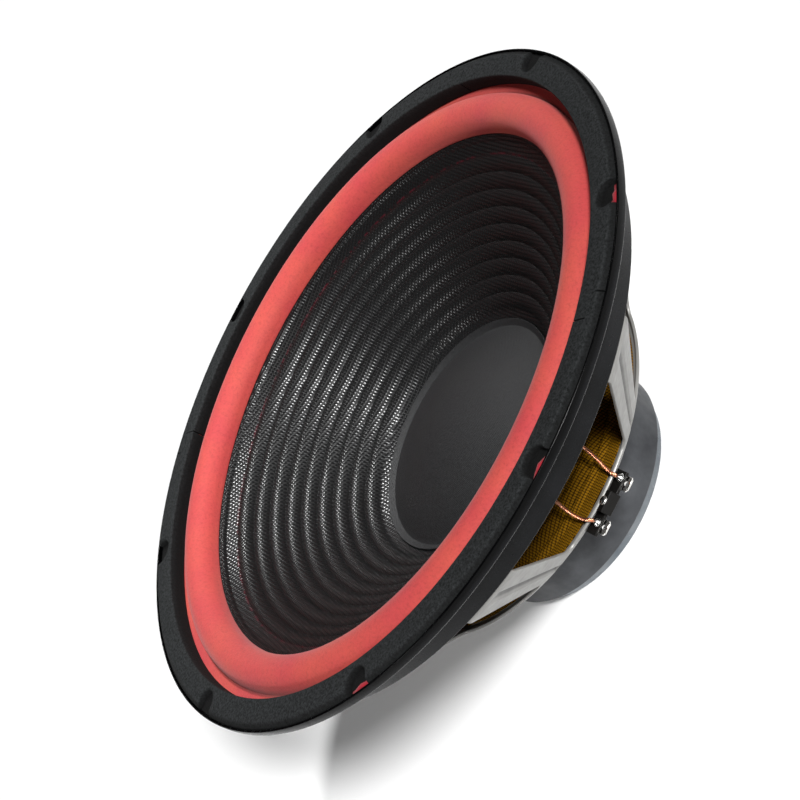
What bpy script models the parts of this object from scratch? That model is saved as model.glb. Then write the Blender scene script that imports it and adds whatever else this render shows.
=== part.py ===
"""Twelve-inch car subwoofer loudspeaker, standing on its magnet with the cone facing up (+Z)."""

import math

import bmesh
import bpy
from mathutils import Matrix, Vector

for old in list(bpy.data.objects):
    bpy.data.objects.remove(old, do_unlink=True)

MM = 0.001
SEGMENTS = 48
CLEARANCE = 0.3

# Rim and gasket, in millimetres.
GASKET_INNER_R = 140.7
GASKET_OUTER_R = 153.0
GASKET_TOP = 124.5
GASKET_CREASE_R = 150.4
GASKET_JOINTS_DEG = (23.4, 110.0, 206.2, 298.4)
LAP_HALF_DEG = 2.0
LAP_STEP_R = 147.4
NOTCH_R = 149.8
NOTCH_HALF = 5.4
NOTCHES_DEG = (0.0, 42.4, 87.6, 134.4, 179.0, 229.0, 274.0, 317.2)
SCREW_CIRCLE_R = 147.0
SCREW_HOLE_R = 2.7
RIM_OUTER_R = 154.3
RIM_LIP_TOP = 123.0
RIM_SEAT = 118.4
RIM_SHEET = 1.2

# Moving system.
ROLL_MID_R = 128.0
ROLL_R = 8.5
ROLL_MID_Z = 114.8
ROLL_SHEET = 0.9
CONE_EDGE_R = 119.5
CONE_EDGE_Z = 111.4
CONE_SLOPE = 0.707
CONE_RIBS = 9
RIB_FIRST_R = 109.8
RIB_PITCH = 6.1
RIB_HEIGHT = 0.9
CAP_R = 54.2
CAP_RISE = 13.0
COIL_R = 25.2

# Basket.
BASKET_TOP = 113.7
WALL_FOOT_R = 134.9
WALL_FOOT_Z = 96.5
SHELF_EDGE_R = 85.0
SHELF_EDGE_Z = 45.6
WINDOWS = 8
WINDOW_HALF_DEG = 16.7
GROOVE_WIDTH = 3.2
GROOVE_DEPTH = 0.9

# Motor.
MAGNET_R = 55.1
MAGNET_BORE_R = 30.0
MAGNET_BOTTOM = 5.4
MAGNET_TOP = 29.4
BACK_PLATE_R = 51.5
BACK_PLATE_T = 5.1
POLE_R = 24.6
TOP_PLATE_R = 50.0
TOP_PLATE_BORE_R = 27.3
TOP_PLATE_T = 6.0


def material(name, color, roughness, metallic=0.0):
    made = bpy.data.materials.new(name)
    made.use_nodes = True
    shader = made.node_tree.nodes["Principled BSDF"]
    shader.inputs["Base Color"].default_value = (*color, 1.0)
    shader.inputs["Roughness"].default_value = roughness
    shader.inputs["Metallic"].default_value = metallic
    return made


def finish(name, bm, mat, smooth_deg=30.0):
    """Makes a named object from the mesh, with every face turned outwards."""
    bmesh.ops.recalc_face_normals(bm, faces=bm.faces[:])
    if bm.calc_volume(signed=True) < 0:
        bmesh.ops.reverse_faces(bm, faces=bm.faces[:])
    mesh = bpy.data.meshes.new(name)
    bm.to_mesh(mesh)
    bm.free()
    obj = bpy.data.objects.new(name, mesh)
    bpy.context.scene.collection.objects.link(obj)
    mesh.materials.append(mat)
    mesh.shade_smooth()
    mesh.set_sharp_from_angle(angle=math.radians(smooth_deg))
    return obj


def turned(name, profile, mat, segments=SEGMENTS, smooth_deg=30.0):
    """Turns a closed outline of (radius, height) millimetres about Z, closing on the axis at radius 0."""
    bm = bmesh.new()
    rings = []
    for radius, height in profile:
        if radius == 0:
            rings.append([bm.verts.new((0, 0, height * MM))] * segments)
            continue
        ring = []
        for k in range(segments):
            turn = math.tau * k / segments
            ring.append(
                bm.verts.new((radius * MM * math.cos(turn), radius * MM * math.sin(turn), height * MM))
            )
        rings.append(ring)
    open_ends = profile[0][0] == 0 and profile[-1][0] == 0
    pairs = list(zip(rings, rings[1:]))
    if not open_ends:
        pairs.append((rings[-1], rings[0]))
    for low, high in pairs:
        for k in range(segments):
            n = (k + 1) % segments
            corners = []
            for vert in (low[k], low[n], high[n], high[k]):
                if vert not in corners:
                    corners.append(vert)
            if len(corners) > 2:
                bm.faces.new(corners)
    return finish(name, bm, mat, smooth_deg)


def prism(name, outline, low, high, mat=None):
    """Extrudes a flat outline of (x, y) millimetres from height low to high."""
    bm = bmesh.new()
    base = [bm.verts.new((x * MM, y * MM, low * MM)) for x, y in outline]
    face = bm.faces.new(base)
    grown = bmesh.ops.extrude_face_region(bm, geom=[face])
    top = [v for v in grown["geom"] if isinstance(v, bmesh.types.BMVert)]
    bmesh.ops.translate(bm, verts=top, vec=(0, 0, (high - low) * MM))
    if mat is None:
        return cutter(name, bm)
    return finish(name, bm, mat)


def cutter(name, bm):
    bmesh.ops.recalc_face_normals(bm, faces=bm.faces[:])
    if bm.calc_volume(signed=True) < 0:
        bmesh.ops.reverse_faces(bm, faces=bm.faces[:])
    mesh = bpy.data.meshes.new(name)
    bm.to_mesh(mesh)
    bm.free()
    obj = bpy.data.objects.new(name, mesh)
    bpy.context.scene.collection.objects.link(obj)
    obj.hide_render = True
    obj.display_type = "WIRE"
    return obj


def boolean(obj, other, operation):
    mod = obj.modifiers.new(other.name, "BOOLEAN")
    mod.operation = operation
    mod.solver = "EXACT"
    mod.object = other


def polar(radius, degrees):
    turn = math.radians(degrees)
    return (radius * math.cos(turn), radius * math.sin(turn))


def disc(x, y, radius, sides=12):
    """A regular outline round (x, y)."""
    turns = [math.tau * s / sides for s in range(sides)]
    return [(x + radius * math.cos(turn), y + radius * math.sin(turn)) for turn in turns]


def round_posts(name, places, radius, low, high, sides=16):
    """Several upright cylinders in one cutter."""
    bm = bmesh.new()
    for x, y in places:
        at = Matrix.Translation((x * MM, y * MM, (low + high) / 2 * MM))
        bmesh.ops.create_cone(
            bm, cap_ends=True, segments=sides, radius1=radius * MM, radius2=radius * MM,
            depth=(high - low) * MM, matrix=at,
        )
    return cutter(name, bm)


def cone_z(radius):
    """Height of the cone's plain front surface."""
    return CONE_EDGE_Z - CONE_SLOPE * (CONE_EDGE_R - radius)


FOAM = material("gasket_foam", (0.012, 0.013, 0.014), 0.9)
RED_FOAM = material("surround_foam", (0.62, 0.03, 0.035), 0.75)
CONE_CLOTH = material("cone_weave", (0.008, 0.008, 0.009), 0.4)
CAP_CLOTH = material("cap_weave", (0.012, 0.012, 0.014), 0.7)
RIM_PAINT = material("rim_paint", (0.01, 0.011, 0.013), 0.35)
BASKET_PAINT = material("basket_paint", (0.5, 0.49, 0.46), 0.45)
SPIDER_CLOTH = material("spider_cloth", (0.3, 0.17, 0.012), 0.85)
FERRITE = material("ferrite", (0.065, 0.07, 0.08), 0.6)
ZINC = material("zinc_plate", (0.62, 0.66, 0.7), 0.3, 1.0)
FORMER = material("coil_former", (0.55, 0.56, 0.57), 0.35, 1.0)
WINDING = material("coil_winding", (0.5, 0.18, 0.06), 0.35, 1.0)
BOARD = material("terminal_board", (0.012, 0.011, 0.01), 0.5)
TIN = material("tinned_steel", (0.72, 0.71, 0.68), 0.25, 1.0)
SOLDER = material("solder", (0.7, 0.7, 0.68), 0.3, 1.0)
COPPER = material("copper_braid", (0.72, 0.3, 0.16), 0.45, 1.0)

# Motor: back plate with its pole, ring magnet, top plate.
turned(
    "yoke",
    [(0, 1.0), (7.2, 1.0), (8.0, 0), (50.7, 0), (BACK_PLATE_R, 0.8), (BACK_PLATE_R, BACK_PLATE_T - 0.6),
     (50.9, BACK_PLATE_T), (POLE_R, BACK_PLATE_T), (POLE_R, 35.4), (23.8, 36.2), (0, 36.2)],
    ZINC,
)
turned(
    "magnet",
    [(MAGNET_BORE_R, MAGNET_BOTTOM), (54.2, MAGNET_BOTTOM), (MAGNET_R, 6.3), (MAGNET_R, 28.5),
     (54.2, MAGNET_TOP), (MAGNET_BORE_R, MAGNET_TOP)],
    FERRITE,
)
plate_low = MAGNET_TOP + CLEARANCE
plate_high = plate_low + TOP_PLATE_T
turned(
    "top_plate",
    [(TOP_PLATE_BORE_R, plate_low), (TOP_PLATE_R, plate_low), (TOP_PLATE_R, plate_high),
     (TOP_PLATE_BORE_R, plate_high)],
    ZINC,
)

# Basket: one pressing, with a window under each screw notch and a pressed groove down each spoke.
basket = turned(
    "basket",
    [(136.6, BASKET_TOP), (135.1, 99.0), (WALL_FOOT_R, WALL_FOOT_Z), (SHELF_EDGE_R, SHELF_EDGE_Z),
     (84.2, 44.4), (73.6, 44.4), (66.0, 36.0), (31.0, 36.0), (31.0, 37.4), (65.3, 37.4), (72.7, 46.0),
     (82.7, 46.0), (133.2, 97.5), (134.9, BASKET_TOP)],
    BASKET_PAINT,
)
windows = bmesh.new()
for k in range(WINDOWS):
    mid = 360 * k / WINDOWS
    sector = [polar(60, mid - 21), polar(86, mid - WINDOW_HALF_DEG), polar(150, mid - WINDOW_HALF_DEG)]
    sector += [polar(150, mid + WINDOW_HALF_DEG), polar(86, mid + WINDOW_HALF_DEG), polar(60, mid + 21)]
    face = windows.faces.new([windows.verts.new((x * MM, y * MM, 47.0 * MM)) for x, y in sector])
    grown = bmesh.ops.extrude_face_region(windows, geom=[face])
    top = [v for v in grown["geom"] if isinstance(v, bmesh.types.BMVert)]
    bmesh.ops.translate(windows, verts=top, vec=(0, 0, 53.8 * MM))
boolean(basket, cutter("window_cutter", windows), "DIFFERENCE")
grooves = bmesh.new()
upper = Vector((WALL_FOOT_R, 0, WALL_FOOT_Z)) * MM
lower = Vector((SHELF_EDGE_R, 0, SHELF_EDGE_Z)) * MM
along = (upper - lower).normalized()
outward = Vector((along.z, 0, -along.x))
for k in range(WINDOWS):
    spin = Matrix.Rotation(math.radians(360 * (k + 0.5) / WINDOWS), 4, "Z")
    ends = []
    for point in (upper - along * 2.0 * MM, lower - along * 3.0 * MM):
        tip = point - outward * GROOVE_DEPTH * MM
        left = point + outward * 1.2 * MM + Vector((0, GROOVE_WIDTH * MM, 0))
        right = point + outward * 1.2 * MM - Vector((0, GROOVE_WIDTH * MM, 0))
        ends.append([grooves.verts.new(spin @ v) for v in (tip, left, right)])
    for a, b in ((0, 1), (1, 2), (2, 0)):
        grooves.faces.new((ends[0][a], ends[0][b], ends[1][b], ends[1][a]))
    grooves.faces.new(ends[0])
    grooves.faces.new(ends[1][::-1])
boolean(basket, cutter("groove_cutter", grooves), "DIFFERENCE")

rivet_low = 37.4 + CLEARANCE
for k in range(6):
    x, y = polar(42.0, 60 * k + 30)
    outline = disc(x, y, 3.0)
    prism(f"basket_rivet_{k + 1}", outline, rivet_low, rivet_low + 1.1, TIN)

# Rim: stepped ring pressed from one sheet, with an upturned lip round the gasket.
rim = turned(
    "rim_ring",
    [(137.1, 114.0), (135.4, 99.0), (136.7, 99.0), (138.4, 113.9), (144.8, 114.0), (144.8, RIM_SEAT),
     (RIM_OUTER_R, RIM_SEAT), (RIM_OUTER_R, RIM_LIP_TOP), (153.3, RIM_LIP_TOP),
     (153.3, RIM_SEAT + RIM_SHEET), (143.6, RIM_SEAT + RIM_SHEET), (143.6, 115.2), (137.1, 115.2)],
    RIM_PAINT,
)
screw_places = [polar(SCREW_CIRCLE_R, notch_deg) for notch_deg in NOTCHES_DEG]
rim_holes = round_posts("rim_screw_cutter", screw_places, SCREW_HOLE_R, 116.0, 122.0)
boolean(rim, rim_holes, "DIFFERENCE")

# Surround: half roll between the rim and the cone's edge.
roll = []
for s in range(8):
    turn = math.radians(180 * s / 7)
    roll.append((ROLL_MID_R + ROLL_R * math.cos(turn), ROLL_MID_Z + ROLL_R * math.sin(turn)))
under = []
inner_r = ROLL_R - ROLL_SHEET
for s in range(6):
    turn = math.radians(180 - 180 * s / 5)
    under.append((ROLL_MID_R + inner_r * math.cos(turn), ROLL_MID_Z + inner_r * math.sin(turn)))
surround = turned(
    "surround",
    [(152.6, 119.9), (152.6, 120.6), (142.5, 120.6), (142.5, 116.3), (137.4, 116.3), *roll,
     (119.5, 112.4), (124.0, 112.4), (124.0, 113.3), (120.4, 113.3), *under, (135.6, 115.5),
     (143.3, 115.5), (143.3, 119.9)],
    RED_FOAM,
)
surround_holes = round_posts("surround_screw_cutter", screw_places, SCREW_HOLE_R, 118.0, 122.0)
boolean(surround, surround_holes, "DIFFERENCE")

# Gasket: four foam segments with stepped laps, each open round its screw notches.
section = [(GASKET_INNER_R, 116.7), (142.2, 116.7), (142.2, 120.9), (GASKET_OUTER_R, 120.9),
           (GASKET_OUTER_R, 122.6), (GASKET_CREASE_R, GASKET_TOP), (GASKET_INNER_R, GASKET_TOP)]
notch_cut = bmesh.new()
for notch_deg in NOTCHES_DEG:
    outline = []
    for s in range(9):
        turn = math.radians(90 + 180 * s / 8)
        outline.append((NOTCH_R + NOTCH_HALF * math.cos(turn), NOTCH_HALF * math.sin(turn)))
    outline += [(160.0, -NOTCH_HALF), (160.0, NOTCH_HALF)]
    spin = Matrix.Rotation(math.radians(notch_deg), 4, "Z")
    corners = [spin @ Vector((x * MM, y * MM, 0.119)) for x, y in outline]
    face = notch_cut.faces.new([notch_cut.verts.new(corner) for corner in corners])
    grown = bmesh.ops.extrude_face_region(notch_cut, geom=[face])
    top = [v for v in grown["geom"] if isinstance(v, bmesh.types.BMVert)]
    bmesh.ops.translate(notch_cut, verts=top, vec=(0, 0, 8 * MM))
notches = cutter("notch_cutter", notch_cut)
for i, start in enumerate(GASKET_JOINTS_DEG):
    end = GASKET_JOINTS_DEG[(i + 1) % 4]
    if end < start:
        end += 360
    trim = math.degrees(CLEARANCE / 2 / LAP_STEP_R)
    half_gap = CLEARANCE / 2
    step_in = LAP_STEP_R - half_gap
    step_out = LAP_STEP_R + half_gap
    outline = [polar(136, start - LAP_HALF_DEG + trim), polar(step_in, start - LAP_HALF_DEG + trim)]
    outline += [polar(step_in, start + LAP_HALF_DEG + trim), polar(168, start + LAP_HALF_DEG + trim)]
    outline += [polar(168, start + (end - start) * s / 6) for s in range(1, 6)]
    outline += [polar(168, end + LAP_HALF_DEG - trim), polar(step_out, end + LAP_HALF_DEG - trim)]
    outline += [polar(step_out, end - LAP_HALF_DEG - trim), polar(136, end - LAP_HALF_DEG - trim)]
    outline += [polar(136, end - (end - start) * s / 8) for s in range(1, 8)]
    wedge = prism(f"gasket_wedge_{i + 1}", outline, 110, 130)
    segment = turned(f"gasket_segment_{i + 1}", section, FOAM)
    boolean(segment, wedge, "INTERSECT")
    boolean(segment, notches, "DIFFERENCE")

# Cone: glued lip, flat band, concentric ribs, then plain down to the coil.
front = [(124.0, 111.0), (124.0, 112.1), (118.4, 112.1), (117.6, 110.7)]
for k in range(CONE_RIBS):
    crest = RIB_FIRST_R - RIB_PITCH * k
    front.append((crest + RIB_PITCH / 2, cone_z(crest + RIB_PITCH / 2)))
    front.append((crest, cone_z(crest) + RIB_HEIGHT))
last = RIB_FIRST_R - RIB_PITCH * (CONE_RIBS - 0.5)
front += [(last, cone_z(last)), (50.0, cone_z(50.0)), (40.0, 56.6), (32.0, 54.0), (25.9, 53.2)]
back = [(25.9, 51.9), (32.4, 52.7), (40.6, 55.2), (50.8, cone_z(50.0) - 1.0), (118.6, 109.7)]
turned("cone", front + back, CONE_CLOTH, smooth_deg=20.0)

# Dust cap: domed cover glued to the cone by its flat ring.
ring_in = CAP_R - 2.8
cap = [(CAP_R, cone_z(CAP_R) + 0.3), (CAP_R, cone_z(CAP_R) + 1.2), (ring_in, cone_z(ring_in) + 1.1)]
dome_low = cone_z(ring_in) + 1.1
for s in range(1, 8):
    part = 1 - s / 8
    cap.append((ring_in * part, dome_low + CAP_RISE * (1 - part * part)))
cap.append((0, dome_low + CAP_RISE))
cap.append((0, dome_low + CAP_RISE - 0.8))
for s in range(5, 0, -1):
    part = 1 - s / 6
    cap.append(((ring_in - 0.5) * part, dome_low - 0.8 + CAP_RISE * (1 - part * part)))
cap.append((ring_in - 0.6, cone_z(ring_in - 0.6) + 0.3))
turned("dust_cap", cap, CAP_CLOTH, smooth_deg=25.0)

turned("coil_former", [(COIL_R, 25.5), (25.6, 25.5), (25.6, 54.0), (COIL_R, 54.0)], FORMER)
turned("coil_winding", [(25.9, 26.0), (26.7, 26.0), (26.7, 40.0), (25.9, 40.0)], WINDING)

# Spider: corrugated cloth between the basket's shelf and the coil former.
wave_top = [(82.2, 46.9), (74.0, 46.9)]
for k in range(8):
    wave_top.append((71.0 - 5.0 * k, 46.9 + (1.6 if k % 2 == 0 else -1.5)))
wave_top += [(32.0, 46.9), (25.9, 46.9)]
wave_low = [(radius, height - 0.6) for radius, height in reversed(wave_top)]
turned("spider", wave_top + wave_low, SPIDER_CLOTH, smooth_deg=50.0)

# Terminal board, held under the basket's shelf by one rivet.
board_outline = [(77.0, -14.2), (88.7, -14.2), (88.7, 14.2), (77.0, 14.2)]
board = prism("terminal_board", board_outline, 42.6, 44.1, BOARD)
block = prism("board_block", [(86.8, -5.0), (91.2, -5.0), (91.2, 5.0), (86.8, 5.0)], 42.6, 48.0)
boolean(board, block, "UNION")
prism("terminal_rivet", disc(89.0, 0.0, 2.0), 48.3, 49.3, TIN)
for name, y in (("positive", 10.0), ("negative", -9.4)):
    outline = [(79.0, y - 3.15), (90.8, y - 3.15), (91.8, y - 2.2)]
    outline += [(91.8, y + 2.2), (90.8, y + 3.15), (79.0, y + 3.15)]
    tab = prism(f"terminal_tab_{name}", outline, 41.5, 42.3, TIN)
    hole = round_posts(f"tab_{name}_cutter", [(88.9, y)], 0.9, 40.0, 44.0, 12)
    boolean(tab, hole, "DIFFERENCE")


def bead(name, centre, radii, mat):
    """A low rounded lump with a flat underside."""
    bm = bmesh.new()
    at = Matrix.Translation(Vector(centre) * MM) @ Matrix.Diagonal((*[r * MM for r in radii], 1.0))
    bmesh.ops.create_uvsphere(bm, u_segments=12, v_segments=8, radius=1.0, matrix=at)
    below = [v for v in bm.verts if v.co.z < centre[2] * MM - 1e-7]
    bmesh.ops.delete(bm, geom=below, context="VERTS")
    bmesh.ops.holes_fill(bm, edges=[e for e in bm.edges if e.is_boundary])
    return finish(name, bm, mat, 60.0)


def lead(name, points, radius, mat, sides=8):
    """A round flexible lead through the points."""
    bm = bmesh.new()
    path = [Vector(p) * MM for p in points]
    smooth = []
    for i in range(len(path) - 1):
        before = path[max(i - 1, 0)]
        after = path[min(i + 2, len(path) - 1)]
        for s in range(2):
            t = s / 2
            a, b = path[i], path[i + 1]
            smooth.append(
                0.5 * (2 * a + (b - before) * t + (2 * before - 5 * a + 4 * b - after) * t * t
                       + (3 * a - before - 3 * b + after) * t ** 3)
            )
    smooth.append(path[-1])
    side = Vector((0, 1, 0))
    rings = []
    for i, centre in enumerate(smooth):
        ahead = smooth[min(i + 1, len(smooth) - 1)] - smooth[max(i - 1, 0)]
        ahead.normalize()
        across = ahead.cross(side).normalized()
        up = across.cross(ahead).normalized()
        ring = []
        for k in range(sides):
            turn = math.tau * k / sides
            spoke = across * math.cos(turn) + up * math.sin(turn)
            ring.append(bm.verts.new(centre + spoke * radius * MM))
        rings.append(ring)
    for low, high in zip(rings, rings[1:]):
        for k in range(sides):
            bm.faces.new((low[k], low[(k + 1) % sides], high[(k + 1) % sides], high[k]))
    bm.faces.new(rings[0][::-1])
    bm.faces.new(rings[-1])
    return finish(name, bm, mat, 60.0)


# Leads: from the solder joints over the basket's ring and up to eyelets on the cone's back.
bead("solder_joint_positive", (86.9, 11.0, 44.4), (1.6, 2.0, 1.6), SOLDER)
bead("solder_joint_negative", (86.9, -8.8, 44.4), (1.6, 2.0, 1.6), SOLDER)
LEAD_R = 0.8
lead(
    "tinsel_lead_positive",
    [(87.2, 10.9, 46.9), (86.4, 11.1, 48.6), (84.5, 11.5, 49.7), (82.3, 12.3, 51.4), (80.0, 13.4, 53.6),
     (77.0, 14.5, 55.9), (73.4, 15.3, 58.8), (70.8, 15.8, 63.0), (69.8, 16.0, 68.0), (69.6, 16.0, 71.2)],
    LEAD_R, COPPER,
)
lead(
    "tinsel_lead_negative",
    [(87.2, -8.9, 46.9), (86.4, -9.6, 48.6), (84.4, -10.3, 49.7), (82.2, -10.6, 51.2), (80.0, -10.5, 53.4),
     (77.2, -9.8, 56.0), (74.2, -8.9, 58.8), (71.6, -8.5, 63.0), (70.6, -8.4, 68.0), (70.4, -8.4, 71.2)],
    LEAD_R, COPPER,
)


def eyelet(name, radius, degrees):
    """A disc lying against the cone's back."""
    bm = bmesh.new()
    slope = math.atan(CONE_SLOPE)
    x, y = polar(radius, degrees)
    drop = 2.15 / math.cos(slope)
    at = Matrix.Translation(Vector((x, y, cone_z(radius) - drop)) * MM)
    at = at @ Matrix.Rotation(math.radians(degrees), 4, "Z") @ Matrix.Rotation(-slope, 4, "Y")
    bmesh.ops.create_cone(
        bm, cap_ends=True, segments=12, radius1=3.0 * MM, radius2=3.4 * MM, depth=1.0 * MM, matrix=at
    )
    return finish(name, bm, TIN)


eyelet("lead_eyelet_positive", math.hypot(69.6, 16.0), math.degrees(math.atan2(16.0, 69.6)))
eyelet("lead_eyelet_negative", math.hypot(70.4, 8.4), math.degrees(math.atan2(-8.4, 70.4)))
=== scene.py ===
import math

import bmesh
import bpy
import numpy as np
from mathutils import Matrix, Vector


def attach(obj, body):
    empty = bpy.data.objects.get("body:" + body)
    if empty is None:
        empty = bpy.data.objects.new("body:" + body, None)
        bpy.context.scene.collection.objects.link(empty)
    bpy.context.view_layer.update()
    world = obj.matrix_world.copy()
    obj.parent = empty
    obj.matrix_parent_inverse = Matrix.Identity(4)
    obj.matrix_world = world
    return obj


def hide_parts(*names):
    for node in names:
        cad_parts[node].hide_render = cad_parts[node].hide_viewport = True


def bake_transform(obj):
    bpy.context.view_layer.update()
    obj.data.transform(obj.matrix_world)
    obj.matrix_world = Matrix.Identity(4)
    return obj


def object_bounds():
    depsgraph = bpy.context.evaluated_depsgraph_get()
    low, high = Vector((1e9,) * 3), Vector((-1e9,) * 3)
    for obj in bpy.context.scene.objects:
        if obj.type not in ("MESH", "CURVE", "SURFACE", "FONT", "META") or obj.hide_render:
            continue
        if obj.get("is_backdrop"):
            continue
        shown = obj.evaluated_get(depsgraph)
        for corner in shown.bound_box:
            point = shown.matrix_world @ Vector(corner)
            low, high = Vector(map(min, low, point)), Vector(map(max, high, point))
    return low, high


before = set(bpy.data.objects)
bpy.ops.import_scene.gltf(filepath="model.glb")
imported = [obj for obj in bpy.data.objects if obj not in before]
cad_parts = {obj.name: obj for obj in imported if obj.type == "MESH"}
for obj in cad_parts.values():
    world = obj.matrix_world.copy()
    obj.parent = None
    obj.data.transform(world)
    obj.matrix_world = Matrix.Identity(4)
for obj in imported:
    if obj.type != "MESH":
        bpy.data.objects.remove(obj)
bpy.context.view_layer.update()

# Back plate with its pole. One turned steel forging, bright zinc plated, with a shallow
# round recess in its rear face. The magnet is glued to it and hides most of it.
MM = 0.001
YOKE_SECTION = [
    (0.0, 1.0, 0), (7.2, 1.0, 0.5), (8.2, 0.0, 0.4), (51.5, 0.0, 0.7), (51.5, 5.1, 0.7),
    (24.6, 5.1, 0), (24.6, 36.2, 0.9), (0.0, 36.2, 0),
]
ROUND_STEPS = 192
ZINC_COLOR = (0.25, 0.267, 0.28)
ZINC_BLUE = (0.145, 0.165, 0.185)


def add(tree, kind, inputs=None, **settings):
    """Adds a shader node, with each input given as a value or as another node's output."""
    made = tree.nodes.new("ShaderNode" + kind)
    for key, value in settings.items():
        setattr(made, key, value)
    for key, value in (inputs or {}).items():
        if isinstance(value, bpy.types.NodeSocket):
            tree.links.new(value, made.inputs[key])
        else:
            made.inputs[key].default_value = value
    return made


def new_finish(name, roughness, metallic=0.0, color=(0.5, 0.5, 0.5)):
    """A material with a Principled shader: returns it, its node tree and the shader."""
    made = bpy.data.materials.new(name)
    made.use_nodes = True
    shader = made.node_tree.nodes["Principled BSDF"]
    shader.inputs["Base Color"].default_value = (*color, 1.0)
    shader.inputs["Roughness"].default_value = roughness
    shader.inputs["Metallic"].default_value = metallic
    return made, made.node_tree, shader


def noise(tree, size_mm, detail=3.0, stretch=(1, 1, 1), rough=0.5):
    """Noise on Object coordinates, with features about size_mm across."""
    coords = add(tree, "TexCoord")
    scaled = add(tree, "Mapping", {"Vector": coords.outputs["Object"], "Scale": stretch})
    settings = {"Scale": 1000 / size_mm, "Detail": detail, "Roughness": rough}
    return add(tree, "TexNoise", {"Vector": scaled.outputs[0], **settings}).outputs["Fac"]


def ramp(tree, factor, stops):
    """A colour or grey that follows factor through (position, colour) stops."""
    made = add(tree, "ValToRGB", {"Fac": factor})
    elements = made.color_ramp.elements
    while len(elements) < len(stops):
        elements.new(0.5)
    for element, (position, color) in zip(elements, stops):
        element.position = position
        if isinstance(color, (int, float)):
            color = (color, color, color)
        element.color = (*color, 1.0)
    return made.outputs["Color"]


def bump(tree, shader, height, depth_mm, strength=1.0, under=None):
    """Raises the surface by height, and returns the normal for a further bump."""
    inputs = {"Height": height, "Distance": depth_mm * MM, "Strength": strength}
    if under is not None:
        inputs["Normal"] = under
    made = add(tree, "Bump", inputs)
    tree.links.new(made.outputs["Normal"], shader.inputs["Normal"])
    return made.outputs["Normal"]


def section_face(bm, outline):
    """A flat closed section in XZ; a corner is (radius, height, rounding) in millimetres."""
    corners = [bm.verts.new((radius * MM, 0, height * MM)) for radius, height, _ in outline]
    bm.faces.new(corners)
    for vert, (_, _, rounding) in zip(corners, outline):
        if rounding:
            bmesh.ops.bevel(
                bm, geom=[vert], offset=rounding * MM, segments=3, profile=0.5, affect="VERTICES",
                material=-1,
            )
    return bm.faces[:]


def settle(name, bm, finish, sharp_deg=35.0, outward=True):
    """Makes the mesh a named piece with smooth shading, its faces turned outwards."""
    if outward:
        bmesh.ops.recalc_face_normals(bm, faces=bm.faces[:])
        if bm.calc_volume(signed=True) < 0:
            bmesh.ops.reverse_faces(bm, faces=bm.faces[:])
    mesh = bpy.data.meshes.new(name)
    bm.to_mesh(mesh)
    bm.free()
    mesh.materials.append(finish)
    mesh.shade_smooth()
    mesh.set_sharp_from_angle(angle=math.radians(sharp_deg))
    piece = bpy.data.objects.new(name, mesh)
    bpy.context.scene.collection.objects.link(piece)
    return piece


def turned(name, outline, finish, steps=ROUND_STEPS, sharp_deg=35.0):
    """Spins a closed section once round Z."""
    bm = bmesh.new()
    bmesh.ops.delete(bm, geom=section_face(bm, outline), context="FACES_ONLY")
    on_axis = [e for e in bm.edges if all(abs(v.co.x) < 1e-7 for v in e.verts)]
    bmesh.ops.delete(bm, geom=on_axis, context="EDGES")
    bmesh.ops.spin(
        bm, geom=bm.verts[:] + bm.edges[:], cent=(0, 0, 0), axis=(0, 0, 1), dvec=(0, 0, 0),
        angle=math.tau, steps=steps, use_merge=True, use_duplicate=False,
    )
    bmesh.ops.remove_doubles(bm, verts=bm.verts[:], dist=1e-6)
    return settle(name, bm, finish, sharp_deg)


def radius_of(tree):
    """Distance from the Z axis, in metres, as a shader value."""
    coords = add(tree, "TexCoord")
    flat = add(tree, "VectorMath", {0: coords.outputs["Object"], 1: (1, 1, 0)}, operation="MULTIPLY")
    return add(tree, "VectorMath", {0: flat.outputs[0]}, operation="LENGTH").outputs["Value"]


def turning_marks(tree, pitch_mm, wobble=1.5):
    """Fine concentric tool marks, a little uneven."""
    scaled = add(tree, "Math", {0: radius_of(tree), 1: 1000 / pitch_mm}, operation="MULTIPLY")
    across = add(tree, "CombineXYZ", {"X": scaled.outputs[0]})
    marks = add(tree, "TexNoise", {"Vector": across.outputs[0], "Scale": 1.0, "Detail": wobble})
    return marks.outputs["Fac"]


zinc, tree, shader = new_finish("bright_zinc", 0.3, 1.0)
blotches = noise(tree, 14, 4)
zinc_tone = ramp(tree, blotches, [(0.3, ZINC_BLUE), (0.65, ZINC_COLOR)])
tree.links.new(zinc_tone, shader.inputs["Base Color"])
tree.links.new(ramp(tree, noise(tree, 3, 3), [(0.3, 0.24), (0.7, 0.42)]), shader.inputs["Roughness"])
bump(tree, shader, turning_marks(tree, 0.4), 0.02, 0.5)
yoke = turned("back_plate_and_pole", YOKE_SECTION, zinc)
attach(yoke, "chassis")
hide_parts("yoke")

# Ring magnet. A sintered ferrite ring, ground flat above and below and painted dark slate
# round its side, glued between the two plates.
MAGNET_SECTION = [(30.0, 5.4, 0.5), (55.1, 5.4, 1.0), (55.1, 29.4, 1.0), (30.0, 29.4, 0.5)]
SLATE = (0.014, 0.0155, 0.0185)
SLATE_WORN = (0.048, 0.051, 0.056)
ferrite, tree, shader = new_finish("ferrite_slate", 0.5)
shader.inputs["Specular IOR Level"].default_value = 0.35
cloud = ramp(tree, noise(tree, 16, 6, rough=0.6), [(0.32, SLATE), (0.72, SLATE_WORN)])
tree.links.new(cloud, shader.inputs["Base Color"])
tree.links.new(ramp(tree, noise(tree, 9, 5), [(0.3, 0.4), (0.7, 0.62)]), shader.inputs["Roughness"])
fine = bump(tree, shader, noise(tree, 0.7, 4), 0.03, 0.5)
bump(tree, shader, noise(tree, 7, 3), 0.25, 0.35, under=fine)
magnet = turned("ring_magnet", MAGNET_SECTION, ferrite)
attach(magnet, "chassis")
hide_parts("magnet")

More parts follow.
